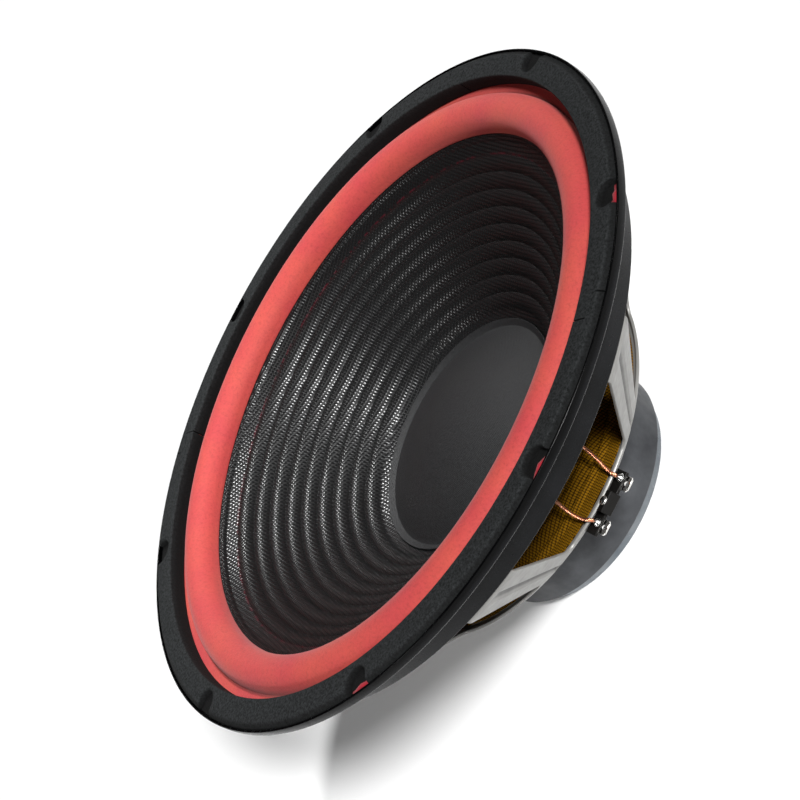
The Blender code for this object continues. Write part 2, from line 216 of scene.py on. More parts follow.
# Top plate. A turned steel washer in bright zinc on top of the magnet, under the basket's floor,
# with the gap for the voice coil round the pole.
TOP_PLATE_SECTION = [(27.3, 29.7, 0.3), (50.0, 29.7, 0.4), (50.0, 35.7, 0.4), (27.3, 35.7, 0.3)]
top_plate = turned("front_plate", TOP_PLATE_SECTION, zinc)
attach(top_plate, "chassis")
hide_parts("top_plate")

# Basket. One steel pressing in satin silver paint: a flat floor riveted to the top plate, a low
# shelf for the spider, and a sloping wall with eight windows and a pressed groove down each spoke.
WINDOWS = 8
SPOKE_TURN = math.tau / WINDOWS
WINDOW_HALF = math.radians(16.7)
CORNER_CUT = math.radians(1.7)
WINDOW_LOW = 47.0
WINDOW_CORNER = 48.9
WINDOW_HIGH = 100.8
GROOVE_LOW = 45.0
GROOVE_HIGH = 94.0
GROOVE_DEPTH = 1.8
GROOVE_INWARD = Vector((-0.714, 0, 0.7))
BASKET_SHEET = 1.3
BASKET_LINE = [
    (31.0, 36.0), (50.0, 36.0), (65.2, 36.0), (66.6, 36.9), (72.6, 43.4), (74.0, 44.4),
    (83.6, 44.4), (84.7, 45.3), (86.4, WINDOW_LOW), (88.25, WINDOW_CORNER), (98.6, 59.5),
    (110.0, 71.1), (122.0, 83.3), (131.8, 93.3), (134.2, 95.75), (134.9, 96.9), (135.1, 99.0),
    (135.3, WINDOW_HIGH), (136.6, 113.7),
]
SILVER = (0.23, 0.227, 0.216)
SILVER_DULL = (0.21, 0.207, 0.197)
# How dark the painted shade in each spoke's pressed groove is.
GROOVE_PAINTED_SHADE = 0.4


def tinted(tree, tone, tint):
    """One colour multiplied by another."""
    made = add(tree, "Mix", {0: 1.0, 6: tone, 7: tint}, data_type="RGBA", blend_type="MULTIPLY")
    return made.outputs[2]


silver_paint, tree, shader = new_finish("silver_paint", 0.42, 0.25)
tone = ramp(tree, noise(tree, 22, 4), [(0.3, SILVER_DULL), (0.7, SILVER)])
# The spoke grooves are painted darker: painted shade in the pressed groove.
pressed = add(tree, "Attribute", attribute_name="groove")
painted_groove_shade = ramp(tree, pressed.outputs["Fac"], [(0.3, 1.0), (0.55, GROOVE_PAINTED_SHADE)])
tree.links.new(tinted(tree, tone, painted_groove_shade), shader.inputs["Base Color"])
tree.links.new(ramp(tree, noise(tree, 4, 3), [(0.3, 0.36), (0.7, 0.5)]), shader.inputs["Roughness"])
bump(tree, shader, noise(tree, 0.9, 2), 0.02, 0.6)


def soften(piece, width, segments, limit_deg=30.0):
    """Rounds the piece's edges that are sharper than limit_deg."""
    edge = piece.modifiers.new("edge", "BEVEL")
    edge.width = width * MM
    edge.segments = segments
    edge.limit_method = "ANGLE"
    edge.angle_limit = math.radians(limit_deg)


def on_window_line(vert, turn, height):
    """True where the vertex is at this turn from the sector's middle and at this height."""
    near_turn = abs(abs(math.atan2(vert.co.y, vert.co.x)) - turn) < 1e-4
    return near_turn and abs(vert.co.z - height * MM) < 1e-6


bm = bmesh.new()
line = [bm.verts.new((radius * MM, 0, height * MM)) for radius, height in BASKET_LINE]
for below, above in zip(line, line[1:]):
    bm.edges.new((below, above))
bmesh.ops.rotate(bm, verts=line, matrix=Matrix.Rotation(-SPOKE_TURN / 2, 3, "Z"))
growing = bm.verts[:] + bm.edges[:]
spoke_half = SPOKE_TURN / 2 - WINDOW_HALF
window_span = 2 * (WINDOW_HALF - CORNER_CUT)
for turn, steps in (
    (spoke_half, 4), (CORNER_CUT, 1), (window_span, 22), (CORNER_CUT, 1), (spoke_half, 4),
):
    swept = bmesh.ops.spin(
        bm, geom=growing, cent=(0, 0, 0), axis=(0, 0, 1), dvec=(0, 0, 0), angle=turn, steps=steps,
        use_duplicate=False,
    )
    growing = swept["geom_last"]
for side in (-1, 1):
    low = [v for v in bm.verts if on_window_line(v, WINDOW_HALF - CORNER_CUT, WINDOW_LOW)]
    high = [v for v in bm.verts if on_window_line(v, WINDOW_HALF, WINDOW_CORNER)]
    pair = [v for v in low + high if v.co.y * side > 0]
    bmesh.ops.connect_verts(bm, verts=pair)
window_faces = []
for face in bm.faces:
    middle = face.calc_center_median()
    turn = abs(math.atan2(middle.y, middle.x))
    below_corner = (WINDOW_CORNER * MM - middle.z) / ((WINDOW_CORNER - WINDOW_LOW) * MM)
    inside_cut = turn + below_corner * CORNER_CUT < WINDOW_HALF
    if turn < WINDOW_HALF and WINDOW_LOW * MM < middle.z < WINDOW_HIGH * MM and inside_cut:
        window_faces.append(face)
bmesh.ops.delete(bm, geom=window_faces, context="FACES")
groove = bm.verts.layers.float.new("groove")
for vert in bm.verts:
    turn = math.atan2(vert.co.y, vert.co.x)
    on_spoke_middle = abs(abs(turn) - SPOKE_TURN / 2) < 1e-4
    if on_spoke_middle and GROOVE_LOW * MM < vert.co.z < GROOVE_HIGH * MM:
        vert.co += Matrix.Rotation(turn, 3, "Z") @ GROOVE_INWARD * GROOVE_DEPTH * MM
        vert[groove] = 1.0
sector = bm.faces[:]
for k in range(1, WINDOWS):
    copied = bmesh.ops.duplicate(bm, geom=sector)
    verts = [v for v in copied["geom"] if isinstance(v, bmesh.types.BMVert)]
    bmesh.ops.rotate(bm, verts=verts, matrix=Matrix.Rotation(k * SPOKE_TURN, 3, "Z"))
bmesh.ops.remove_doubles(bm, verts=bm.verts[:], dist=2e-6)
bmesh.ops.recalc_face_normals(bm, faces=bm.faces[:])
lowest = min(bm.faces, key=lambda f: f.calc_center_median().z)
if lowest.normal.z > 0:
    bmesh.ops.reverse_faces(bm, faces=bm.faces[:])
basket = settle("basket_pressing", bm, silver_paint, 24, outward=False)
wall = basket.modifiers.new("sheet", "SOLIDIFY")
wall.thickness = BASKET_SHEET * MM
wall.offset = -1.0
wall.use_even_offset = True
soften(basket, 0.25, 2, 50)
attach(basket, "chassis")
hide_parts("basket")

# Basket rivets. Six tinned steel rivet heads that hold the basket's floor to the top plate.
RIVETS = 6


def dress(node, finish):
    """Gives a node of the frame this finish in place of its own."""
    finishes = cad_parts[node].data.materials
    finishes.clear()
    finishes.append(finish)


tin, tree, shader = new_finish("bright_tin", 0.22, 1.0, (0.8, 0.79, 0.76))
tree.links.new(ramp(tree, noise(tree, 1.5, 3), [(0.3, 0.15), (0.7, 0.34)]), shader.inputs["Roughness"])
bump(tree, shader, noise(tree, 0.8, 3), 0.02, 0.6)
for k in range(RIVETS):
    dress(f"basket_rivet_{k + 1}", tin)

# Rim ring. A stepped ring pressed from steel sheet and painted satin black: a skirt crimped round
# the basket's top edge, a flat flange with eight screw holes, and an upturned lip.
SCREWS_DEG = (0.0, 42.4, 87.6, 134.4, 179.0, 229.0, 274.0, 317.2)
SCREW_TURNS = [math.radians(turn) for turn in SCREWS_DEG]
SCREW_CIRCLE = 147.0
SCREW_HOLE = 2.7
RIM_SECTION = [
    (137.1, 114.0, 0.3), (135.4, 99.0, 0.3), (136.7, 99.0, 0.6), (138.35, 113.9, 0.8),
    (144.8, 114.0, 0.6), (144.8, 118.4, 0.4), (154.3, 118.4, 1.1), (154.3, 123.0, 0.5),
    (153.3, 123.0, 0.3), (153.3, 119.6, 0.3), (143.6, 119.6, 0.4), (143.6, 115.2, 0.3),
    (137.1, 115.2, 0.3),
]
BLACK_PAINT = (0.0025, 0.0028, 0.0032)
BLACK_PAINT_WORN = (0.006, 0.0063, 0.0073)
# How dark the painted shade on the rim's upper lip is.
LIP_PAINTED_SHADE = 0.15
LIP_LOW = 119.5
LIP_HIGH = 121.5


def height_share(tree, low, high):
    """0 up to the low height and 1 from the high one, both in millimetres."""
    coords = add(tree, "TexCoord")
    place = add(tree, "SeparateXYZ", {"Vector": coords.outputs["Object"]})
    limits = {"Value": place.outputs["Z"], "From Min": low * MM, "From Max": high * MM}
    return add(tree, "MapRange", limits).outputs["Result"]


rim_paint, tree, shader = new_finish("satin_black_paint", 0.3)
shader.inputs["Specular IOR Level"].default_value = 0.1
tone = ramp(tree, noise(tree, 18, 5), [(0.35, BLACK_PAINT), (0.7, BLACK_PAINT_WORN)])
# The upper lip is painted darker than the wall below it: painted shade for the darker reflection it
# shows.
lip_painted_shade = ramp(tree, height_share(tree, LIP_LOW, LIP_HIGH), [(0.0, 1.0), (1.0, LIP_PAINTED_SHADE)])
tree.links.new(tinted(tree, tone, lip_painted_shade), shader.inputs["Base Color"])
tree.links.new(ramp(tree, noise(tree, 3, 4), [(0.3, 0.2), (0.7, 0.3)]), shader.inputs["Roughness"])
drawn = bump(tree, shader, noise(tree, 1.2, 3, stretch=(1, 1, 0.08)), 0.02, 0.5)
bump(tree, shader, noise(tree, 0.35, 2), 0.015, 0.5, under=drawn)


def posts(name, radius, low, high, places, sides=32):
    """Upright cutting posts, one at each place."""
    bm = bmesh.new()
    for x, y in places:
        at = Matrix.Translation((x * MM, y * MM, (low + high) / 2 * MM))
        bmesh.ops.create_cone(
            bm, cap_ends=True, segments=sides, radius1=radius * MM, radius2=radius * MM,
            depth=(high - low) * MM, matrix=at,
        )
    return settle(name, bm, rim_paint)


def carve(piece, cutter, sharp_deg=35.0):
    """Cuts the cutter's shape out of the piece for good, and throws the cutter away."""
    cut = piece.modifiers.new("cut", "BOOLEAN")
    cut.operation = "DIFFERENCE"
    cut.solver = "EXACT"
    cut.object = cutter
    bpy.context.view_layer.update()
    shown = piece.evaluated_get(bpy.context.evaluated_depsgraph_get())
    mesh = bpy.data.meshes.new_from_object(shown)
    piece.modifiers.clear()
    piece.data = mesh
    mesh.shade_smooth()
    mesh.set_sharp_from_angle(angle=math.radians(sharp_deg))
    bpy.data.objects.remove(cutter, do_unlink=True)


def polar(radius, turn):
    """X and Y of a point at this radius and turn round Z."""
    return (radius * math.cos(turn), radius * math.sin(turn))


screw_places = [polar(SCREW_CIRCLE, turn) for turn in SCREW_TURNS]
rim = turned("rim_pressing", RIM_SECTION, rim_paint, steps=240)
carve(rim, posts("screw_cutter", SCREW_HOLE, 116, 122, screw_places))
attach(rim, "chassis")
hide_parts("rim_ring")

# Surround. A half roll hot-pressed from one sheet of red polyurethane foam. Its outer
# flange is glued into the rim and shows as curled scraps in some notches; its foot is on the cone.
ROLL_MID = (128.0, 114.8)
ROLL_RADIUS = 8.5
ROLL_SHEET = 0.9
SCRAPS = ((0, -0.6), (1, -2.2), (7, 1.8))  # screw number, and the scrap's distance beside it
SCRAP_FROM = 150.6
SCRAP_HALF = 4.6
SCRAP_RISE = 2.2
RED_MAIN = (0.41, 0.036, 0.041)
RED_WARM = (0.46, 0.062, 0.042)
# How dark the painted shade in the crease between roll and flange is.
FOLD_PAINTED_SHADE = 0.6
FOLD_INNER = 135.5
FOLD_OUTER = 137.8
TORN_RED = (0.7, 0.08, 0.35)
TORN_INNER = 148.5
TORN_OUTER = 150.0
STILL_RADIUS = 136.5
FREE_RADIUS = 121.5


def arc(middle, radius, start_deg, end_deg, steps):
    """Points (radius, height, 0) along a round part of a section."""
    points = []
    for s in range(steps + 1):
        turn = math.radians(start_deg + (end_deg - start_deg) * s / steps)
        points.append((middle[0] + radius * math.cos(turn), middle[1] + radius * math.sin(turn), 0))
    return points


surround_section = [
    (152.6, 119.9, 0), (152.6, 120.6, 0.2), (151.8, 120.6, 0), (151.0, 120.6, 0), (150.2, 120.6, 0),
    (149.0, 120.6, 0), (142.5, 120.6, 0.5),
    (142.5, 116.3, 0.5), (137.9, 116.3, 0), (137.0, 115.95, 0),
    *arc(ROLL_MID, ROLL_RADIUS, 4, 176, 34),
    (119.5, 114.0, 0), (119.4, 113.2, 0), (119.6, 112.4, 0), (124.0, 112.4, 0), (124.0, 113.2, 0),
    (120.6, 113.3, 0.3), (120.4, 114.0, 0),
    *arc(ROLL_MID, ROLL_RADIUS - ROLL_SHEET, 172, 8, 28),
    (135.8, 115.5, 0), (143.3, 115.5, 0.3), (143.3, 119.9, 0.2),
]


def radius_share(tree, inner, outer):
    """0 up to the inner radius and 1 from the outer one, both in millimetres."""
    limits = {"Value": radius_of(tree), "From Min": inner * MM, "From Max": outer * MM}
    return add(tree, "MapRange", limits).outputs["Result"]


red_foam, tree, shader = new_finish("red_foam", 0.72)
shader.inputs["Sheen Weight"].default_value = 0.12
shader.inputs["Sheen Roughness"].default_value = 0.5
shader.inputs["Sheen Tint"].default_value = (1.0, 0.7, 0.7, 1.0)
shader.inputs["Specular IOR Level"].default_value = 0.35
patches = ramp(tree, noise(tree, 26, 3), [(0.3, RED_MAIN), (0.75, RED_WARM)])
grain = noise(tree, 1.2, 5, rough=0.8)
speckle = ramp(tree, grain, [(0.3, 0.6), (0.48, 0.9), (0.66, 1.0)])
# The crease where the roll meets the flange is painted darker: painted shade in the fold.
across = radius_share(tree, FOLD_INNER, FOLD_OUTER)
painted_fold_shade = ramp(tree, across, [(0.0, 1.0), (0.45, FOLD_PAINTED_SHADE), (0.6, FOLD_PAINTED_SHADE), (1.0, 1.0)])
outwards = radius_share(tree, TORN_INNER, TORN_OUTER)
torn_tone = ramp(tree, outwards, [(0.0, 1.0), (1.0, TORN_RED)])
mixed = tinted(tree, tinted(tree, tinted(tree, patches, speckle), painted_fold_shade), torn_tone)
tree.links.new(mixed, shader.inputs["Base Color"])
cells = bump(tree, shader, grain, 0.22, 0.8)
bump(tree, shader, noise(tree, 6, 2), 0.2, 0.25, under=cells)
surround = turned("surround_roll", surround_section, red_foam, steps=240, sharp_deg=50)
carve(surround, posts("flange_cutter", SCREW_HOLE, 117.5, 122, screw_places), 50)
for vert in surround.data.vertices:
    flat = vert.co.to_2d()
    past_foot = flat.length / MM - SCRAP_FROM + 0.8
    for k, off in SCRAPS:
        toward = Vector(polar(1.0, SCREW_TURNS[k]))
        beside = abs(toward.cross(flat) / MM - off)
        if past_foot > 0 and beside < SCRAP_HALF and toward.dot(flat) > 0:
            swell = math.cos(beside / SCRAP_HALF * math.pi / 2) ** 0.5
            vert.co.z += SCRAP_RISE * MM * swell * min(1.0, past_foot / 1.2)
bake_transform(surround)


def bend_by_radius(piece, fixed_radius, free_radius):
    """Works out how far each point lies between fixed_radius and free_radius, and keeps nothing of it.
    """
    points = np.array([v.co for v in piece.data.vertices], float) / MM
    share = (fixed_radius - np.hypot(points[:, 0], points[:, 1])) / (fixed_radius - free_radius)
    share = np.clip(share, 0, 1)


bend_by_radius(surround, STILL_RADIUS, FREE_RADIUS)
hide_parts("surround")

# Gasket. Four arcs of black foam with stepped lap joints, glued over the surround's flange, with a
# bevelled outer edge and a round-ended notch at each screw.
LAP_RADIUS = 147.4
LAP_HALF = math.radians(2.0)
LAP_GAP = 0.7
NOTCH_MIDDLE = 149.4
NOTCH_HALF = 5.9
NOTCH_FLOOR = 121.1
JOINTS = [math.radians(turn) for turn in (23.4, 110.0, 206.2, 298.4)]
GASKET_TOP = 124.5
GASKET_SECTION = [
    (140.7, 116.7, 0.3), (142.2, 116.7, 0), (142.2, 120.9, 0), (LAP_RADIUS, 120.9, 0),
    (153.0, 120.9, 0), (153.0, 122.6, 0.35), (150.4, GASKET_TOP, 0.2), (LAP_RADIUS, GASKET_TOP, 0),
    (140.7, GASKET_TOP, 0.55),
]
FOAM_BLACK = (0.0025, 0.003, 0.0031)
FOAM_GREY = (0.024, 0.026, 0.027)
black_foam, tree, shader = new_finish("black_foam", 0.92)
shader.inputs["Specular IOR Level"].default_value = 0.2
grain = noise(tree, 1.1, 4, rough=0.8)
speckle = ramp(tree, grain, [(0.38, FOAM_BLACK), (0.64, FOAM_GREY)])
# The foam is painted darker below its top face, down the bevel, the inner wall and into each notch:
# painted shade in the recesses and on the sides.
raised = height_share(tree, NOTCH_FLOOR, GASKET_TOP)
painted_recess_shade = ramp(tree, raised, [(0.0, 0.1), (0.75, 0.4), (0.96, 1.0)])
tree.links.new(tinted(tree, speckle, painted_recess_shade), shader.inputs["Base Color"])
cells = bump(tree, shader, grain, 0.2, 0.9)
bump(tree, shader, noise(tree, 9, 3), 0.3, 0.3, under=cells)


def swing(bm, geom, turn, steps):
    """Sweeps part of a section round Z, and returns the faces at its far end."""
    swept = bmesh.ops.spin(
        bm, geom=geom, cent=(0, 0, 0), axis=(0, 0, 1), dvec=(0, 0, 0), angle=turn, steps=steps,
        use_duplicate=False,
    )
    return [g for g in swept["geom_last"] if isinstance(g, bmesh.types.BMFace)]


def flat_middle(face):
    """X and Y of the face's middle."""
    return face.calc_center_median().to_2d()


def hollow_cutter(turns, outline, levels):
    """Cutting solids with this outline, one at each turn; a level is (height, growth outwards)."""
    bm = bmesh.new()
    for hollow_turn in turns:
        turned_by = Matrix.Rotation(hollow_turn, 4, "Z")
        middle = turned_by @ Vector((NOTCH_MIDDLE * MM, 0, 0))
        floor = levels[0][0]
        placed = [turned_by @ Vector((x * MM, y * MM, floor * MM)) for x, y in outline]
        bottom = bm.faces.new([bm.verts.new(place) for place in placed])
        level = bottom
        for rise, grow in levels[1:]:
            grown = bmesh.ops.extrude_face_region(bm, geom=[level])["geom"]
            if level is not bottom:
                bmesh.ops.delete(bm, geom=[level], context="FACES_ONLY")
            level = next(g for g in grown if isinstance(g, bmesh.types.BMFace))
            for vert in level.verts:
                away = (vert.co - middle).to_2d().normalized() * grow * MM
                vert.co += Vector((*away, (rise - floor) * MM))
            floor = rise
    return settle("hollow_cutter", bm, black_foam)


notch_outline = [(160.0, 7.2), (153.6, 6.9), (152.6, 6.2), (151.4, NOTCH_HALF)]
for s in range(15):
    turn = math.radians(90 + 180 * s / 14)
    notch_outline.append((NOTCH_MIDDLE + NOTCH_HALF * math.cos(turn), NOTCH_HALF * math.sin(turn)))
notch_outline += [(151.4, -NOTCH_HALF), (152.6, -6.2), (153.6, -6.9), (160.0, -7.2)]
notch_levels = [(NOTCH_FLOOR, 0), (123.2, 0), (123.9, 0.2), (124.3, 0.4), (124.6, 0.6), (126.0, 0.8)]
torn_outline = [(160.0, 5.6), (SCRAP_FROM - 0.4, 5.2), (SCRAP_FROM - 0.4, -5.2), (160.0, -5.6)]
torn_levels = [(119.5, 0), (NOTCH_FLOOR + 0.5, 0)]
torn_turns = [SCREW_TURNS[k] for k, _ in SCRAPS]
trim = LAP_GAP / 2 / LAP_RADIUS
for k, start in enumerate(JOINTS):
    end = JOINTS[(k + 1) % 4]
    if end < start:
        end += math.tau
    first = start + LAP_HALF + trim
    span = end - LAP_HALF - trim - first
    steps = max(24, round(span / math.tau * ROUND_STEPS))
    bm = bmesh.new()
    whole = section_face(bm, GASKET_SECTION)[0]
    seam = sorted((v for v in bm.verts if abs(v.co.x - LAP_RADIUS * MM) < 1e-7), key=lambda v: v.co.z)
    bmesh.utils.face_split(whole, seam[0], seam[1])
    bmesh.ops.rotate(bm, verts=bm.verts[:], matrix=Matrix.Rotation(first, 3, "Z"))
    far = swing(bm, bm.faces[:] + bm.edges[:] + bm.verts[:], span, steps)
    toward = Vector(polar(1, first))
    near = [f for f in bm.faces if abs(flat_middle(f).angle_signed(toward)) < 1e-5]
    far_outer = max(far, key=lambda f: flat_middle(f).length)
    near_inner = min(near, key=lambda f: flat_middle(f).length)
    swing(bm, [far_outer], 2 * LAP_HALF, 3)
    swing(bm, [near_inner], -2 * LAP_HALF, 3)
    bmesh.ops.remove_doubles(bm, verts=bm.verts[:], dist=1e-6)
    arc_piece = settle(f"gasket_arc_{k + 1}", bm, black_foam)
    carve(arc_piece, hollow_cutter(SCREW_TURNS, notch_outline, notch_levels))
    carve(arc_piece, hollow_cutter(torn_turns, torn_outline, torn_levels))
    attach(arc_piece, "chassis")
    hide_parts(f"gasket_segment_{k + 1}")

# Cone. One cloth cone, hot-pressed with nine round ribs, stiffened with glossy black lacquer that
# leaves the weave showing. Its outer lip is glued under the surround.
CONE_EDGE = (119.5, 111.4)
CONE_SLOPE = 0.707
RIBS = 9
FIRST_RIB = 109.8
RIB_PITCH = 6.1
RIB_HEIGHT = 1.4
RIB_POINTS = 12


def cone_height(radius):
    """Height of the plain slope between the ribs, in millimetres."""
    return CONE_EDGE[1] - CONE_SLOPE * (CONE_EDGE[0] - radius)


cone_section = [
    (124.0, 111.0, 0), (124.0, 112.1, 0.2), (119.3, 112.1, 0.25), (118.9, 111.5, 0.15),
    (118.3, 111.6, 0.2), (117.7, 110.9, 0.2), (117.2, cone_height(117.2), 0.2),
    (113.6, cone_height(113.6), 0),
]
for k in range(RIBS):
    for s in range(RIB_POINTS):
        share = 0.5 - s / RIB_POINTS
        radius = FIRST_RIB - RIB_PITCH * k + RIB_PITCH * share
        crest = (abs(math.cos(math.pi * share)) ** 0.8) * RIB_HEIGHT
        cone_section.append((radius - 0.25 * crest, cone_height(radius) + crest, 0))
last = FIRST_RIB - RIB_PITCH * (RIBS - 0.5)
cone_section += [
    (last, cone_height(last), 0), (last - 0.9, cone_height(last - 0.9), 0),
    (50.0, cone_height(50.0), 0), (40.0, 56.6, 0), (32.0, 54.0, 0), (25.9, 53.2, 0),
    (25.9, 51.9, 0), (32.4, 52.7, 0), (40.6, 55.2, 0), (50.8, cone_height(50.0) - 1.0, 0),
]
for k in reversed(range(RIBS)):
    crest = FIRST_RIB - RIB_PITCH * k
    cone_section.append((crest - 1.7, cone_height(crest - 1.7) - 1.0, 0))
    cone_section.append((crest + 0.6, cone_height(crest) - 0.6, 0))
    cone_section.append((crest + 2.4, cone_height(crest + 2.4) - 1.1, 0))
cone_section.append((118.6, 109.7, 0.3))
CONE_WEAVE = 1.45
RED_LINE_INNER = 112.4
RED_LINE_OUTER = 113.6
LACQUER = (0.0008, 0.0008, 0.0009)
# Lighter colour on the thread crossings: lacquer worn thin there, and a painted highlight.
LACQUER_WORN_AND_GLINT = (0.007, 0.0073, 0.0076)
EDGE_RED = (0.045, 0.003, 0.007)


def weave_height(tree, pitch_mm, turn_deg=0.0):
    """Height of a plain weave lying flat in X and Y: 0 between the threads, 1 on each crossing."""
    coords = add(tree, "TexCoord")
    lying = coords.outputs["Object"]
    drift = add(tree, "TexNoise", {"Vector": lying, "Scale": 40.0, "Detail": 1.0}).outputs["Color"]
    pulled = add(tree, "VectorMath", {0: drift, "Scale": 0.5 * MM}, operation="SCALE")
    moved = add(tree, "VectorMath", {0: lying, 1: pulled.outputs[0]}, operation="ADD")
    turns = {"Rotation": (0, 0, math.radians(turn_deg)), "Scale": (math.pi / pitch_mm / MM,) * 3}
    scaled = add(tree, "Mapping", {"Vector": moved.outputs[0], **turns})
    both = add(tree, "SeparateXYZ", {"Vector": scaled.outputs[0]})
    warp = add(tree, "Math", {0: both.outputs["X"]}, operation="SINE")
    weft = add(tree, "Math", {0: both.outputs["Y"]}, operation="SINE")
    crossed = add(tree, "Math", {0: warp.outputs[0], 1: weft.outputs[0]}, operation="MULTIPLY")
    raised = add(tree, "Math", {0: crossed.outputs[0]}, operation="ABSOLUTE")
    return add(tree, "Math", {0: raised.outputs[0], 1: 0.6}, operation="POWER").outputs[0]


lacquered, tree, shader = new_finish("lacquered_weave", 0.3)
shader.inputs["Specular IOR Level"].default_value = 0.28
threads = weave_height(tree, CONE_WEAVE)
# The thread crossings are painted lighter: partly lacquer worn thin on the tops, partly a painted
# highlight on each crossing.
thread_wear_and_glint = ramp(tree, threads, [(0.45, LACQUER), (0.95, LACQUER_WORN_AND_GLINT)])
across = radius_share(tree, RED_LINE_INNER, RED_LINE_OUTER)
stray = ramp(tree, across, [(0.0, 0.0), (0.5, 1.0), (1.0, 0.0)])
dashes = ramp(tree, noise(tree, 2.5, 2), [(0.45, 0.0), (0.6, 1.0)])
line_red = {0: tinted(tree, stray, dashes), 6: thread_wear_and_glint, 7: (*EDGE_RED, 1.0)}
mixed = add(tree, "Mix", line_red, data_type="RGBA")
tree.links.new(mixed.outputs[2], shader.inputs["Base Color"])
tree.links.new(ramp(tree, threads, [(0.35, 0.5), (0.8, 0.2)]), shader.inputs["Roughness"])
cloth = bump(tree, shader, threads, 0.16, 0.8)
bump(tree, shader, noise(tree, 1.6, 4, rough=0.7), 0.06, 0.6, under=cloth)
cone = turned("woven_cone", cone_section, lacquered, steps=240, sharp_deg=40)
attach(cone, "moving_assembly")
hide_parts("cone")

# Dust cap. A shallow dome of fine black cloth with a flat rolled ring, glued to the cone over
# the voice coil.
CAP_OUTER = 54.2
CAP_INNER = 51.4
CAP_RISE = 13.0
CAP_WEAVE = 0.7
cap_foot = cone_height(CAP_INNER) + 1.1
cap_section = [
    (CAP_OUTER, cone_height(CAP_OUTER) + 0.3, 0.1), (CAP_OUTER, cone_height(CAP_OUTER) + 1.3, 0.4),
    (CAP_INNER + 0.9, cap_foot + 0.7, 0.4), (CAP_INNER, cap_foot + 0.1, 0.3),
]
for s in range(1, 25):
    share = 1 - s / 24
    cap_section.append((CAP_INNER * share, cap_foot + CAP_RISE * (1 - share * share), 0))
for s in range(12, -1, -1):
    share = 1 - s / 12
    rise = CAP_RISE * (1 - share * share)
    cap_section.append(((CAP_INNER - 0.6) * share, cap_foot - 0.7 + rise, 0))
CAP_BLACK = (0.0015, 0.0016, 0.0018)
CAP_GREY = (0.01, 0.0106, 0.0115)
cap_cloth, tree, shader = new_finish("fine_cap_cloth", 0.6)
shader.inputs["Specular IOR Level"].default_value = 0.35
threads = weave_height(tree, CAP_WEAVE, 30)
fibres = noise(tree, 1.1, 4, rough=0.75)
cap_tone = ramp(tree, fibres, [(0.36, CAP_BLACK), (0.64, CAP_GREY)])
tree.links.new(cap_tone, shader.inputs["Base Color"])
cloth = bump(tree, shader, threads, 0.08, 0.8)
bump(tree, shader, fibres, 0.2, 0.8, under=cloth)
cap = turned("cap_dome", cap_section, cap_cloth, sharp_deg=40)
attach(cap, "moving_assembly")
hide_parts("dust_cap")

# Voice coil. Enamelled copper wire wound on an aluminium sleeve that hangs from the cone's neck
# into the magnet's gap.
TURN_MARKS = 1100.0
sleeve_metal, tree, shader = new_finish("sleeve_aluminium", 0.35, 1.0, (0.7, 0.71, 0.72))
tree.links.new(ramp(tree, noise(tree, 4, 3), [(0.3, 0.28), (0.7, 0.42)]), shader.inputs["Roughness"])
enamel, tree, shader = new_finish("enamelled_wire", 0.3, 0.9, (0.55, 0.2, 0.07))
coords = add(tree, "TexCoord")
wire = {"Vector": coords.outputs["Object"], "Scale": TURN_MARKS}
turns = add(tree, "TexWave", wire, bands_direction="Z")
bump(tree, shader, turns.outputs["Fac"], 0.1, 0.8)
dress("coil_former", sleeve_metal)
dress("coil_winding", enamel)

# Spider. A disc of open cotton weave dipped in amber resin and pressed into round corrugations,
# glued to the basket's shelf and to the coil's sleeve.
SPIDER_OUTER = 82.2
SPIDER_INNER = 25.9
SPIDER_FLAT = 75.5
SPIDER_NECK = 31.0
SPIDER_TOP = 46.9
SPIDER_SHEET = 0.6
SPIDER_STEPS = 110
SPIDER_WEAVE = 1.1
WAVES = 4.5
WAVE_HEIGHT = 1.9
AMBER_LIGHT = (0.19, 0.09, 0.0025)
AMBER_DARK = (0.034, 0.016, 0.001)


def spider_height(radius):
    """Height of the corrugated top face, in millimetres."""
    share = (SPIDER_FLAT - radius) / (SPIDER_FLAT - SPIDER_NECK)
    if not 0 < share < 1:
        return SPIDER_TOP
    return SPIDER_TOP + WAVE_HEIGHT * math.sin(share * WAVES * math.tau)


radii = []
for s in range(SPIDER_STEPS + 1):
    radii.append(SPIDER_OUTER + (SPIDER_INNER - SPIDER_OUTER) * s / SPIDER_STEPS)
spider_section = [(radius, spider_height(radius), 0) for radius in radii]
spider_section += [(radius, spider_height(radius) - SPIDER_SHEET, 0) for radius in reversed(radii)]
amber, tree, shader = new_finish("amber_weave", 0.8)
shader.inputs["Specular IOR Level"].default_value = 0.05
threads = weave_height(tree, SPIDER_WEAVE)
amber_tone = ramp(tree, threads, [(0.3, AMBER_DARK), (0.72, AMBER_LIGHT)])
tree.links.new(amber_tone, shader.inputs["Base Color"])
bump(tree, shader, threads, 0.25, 0.8)
spider = turned("corrugated_spider", spider_section, amber, steps=160, sharp_deg=60)
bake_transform(spider)
bend_by_radius(spider, SPIDER_FLAT, 27.0)
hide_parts("spider")

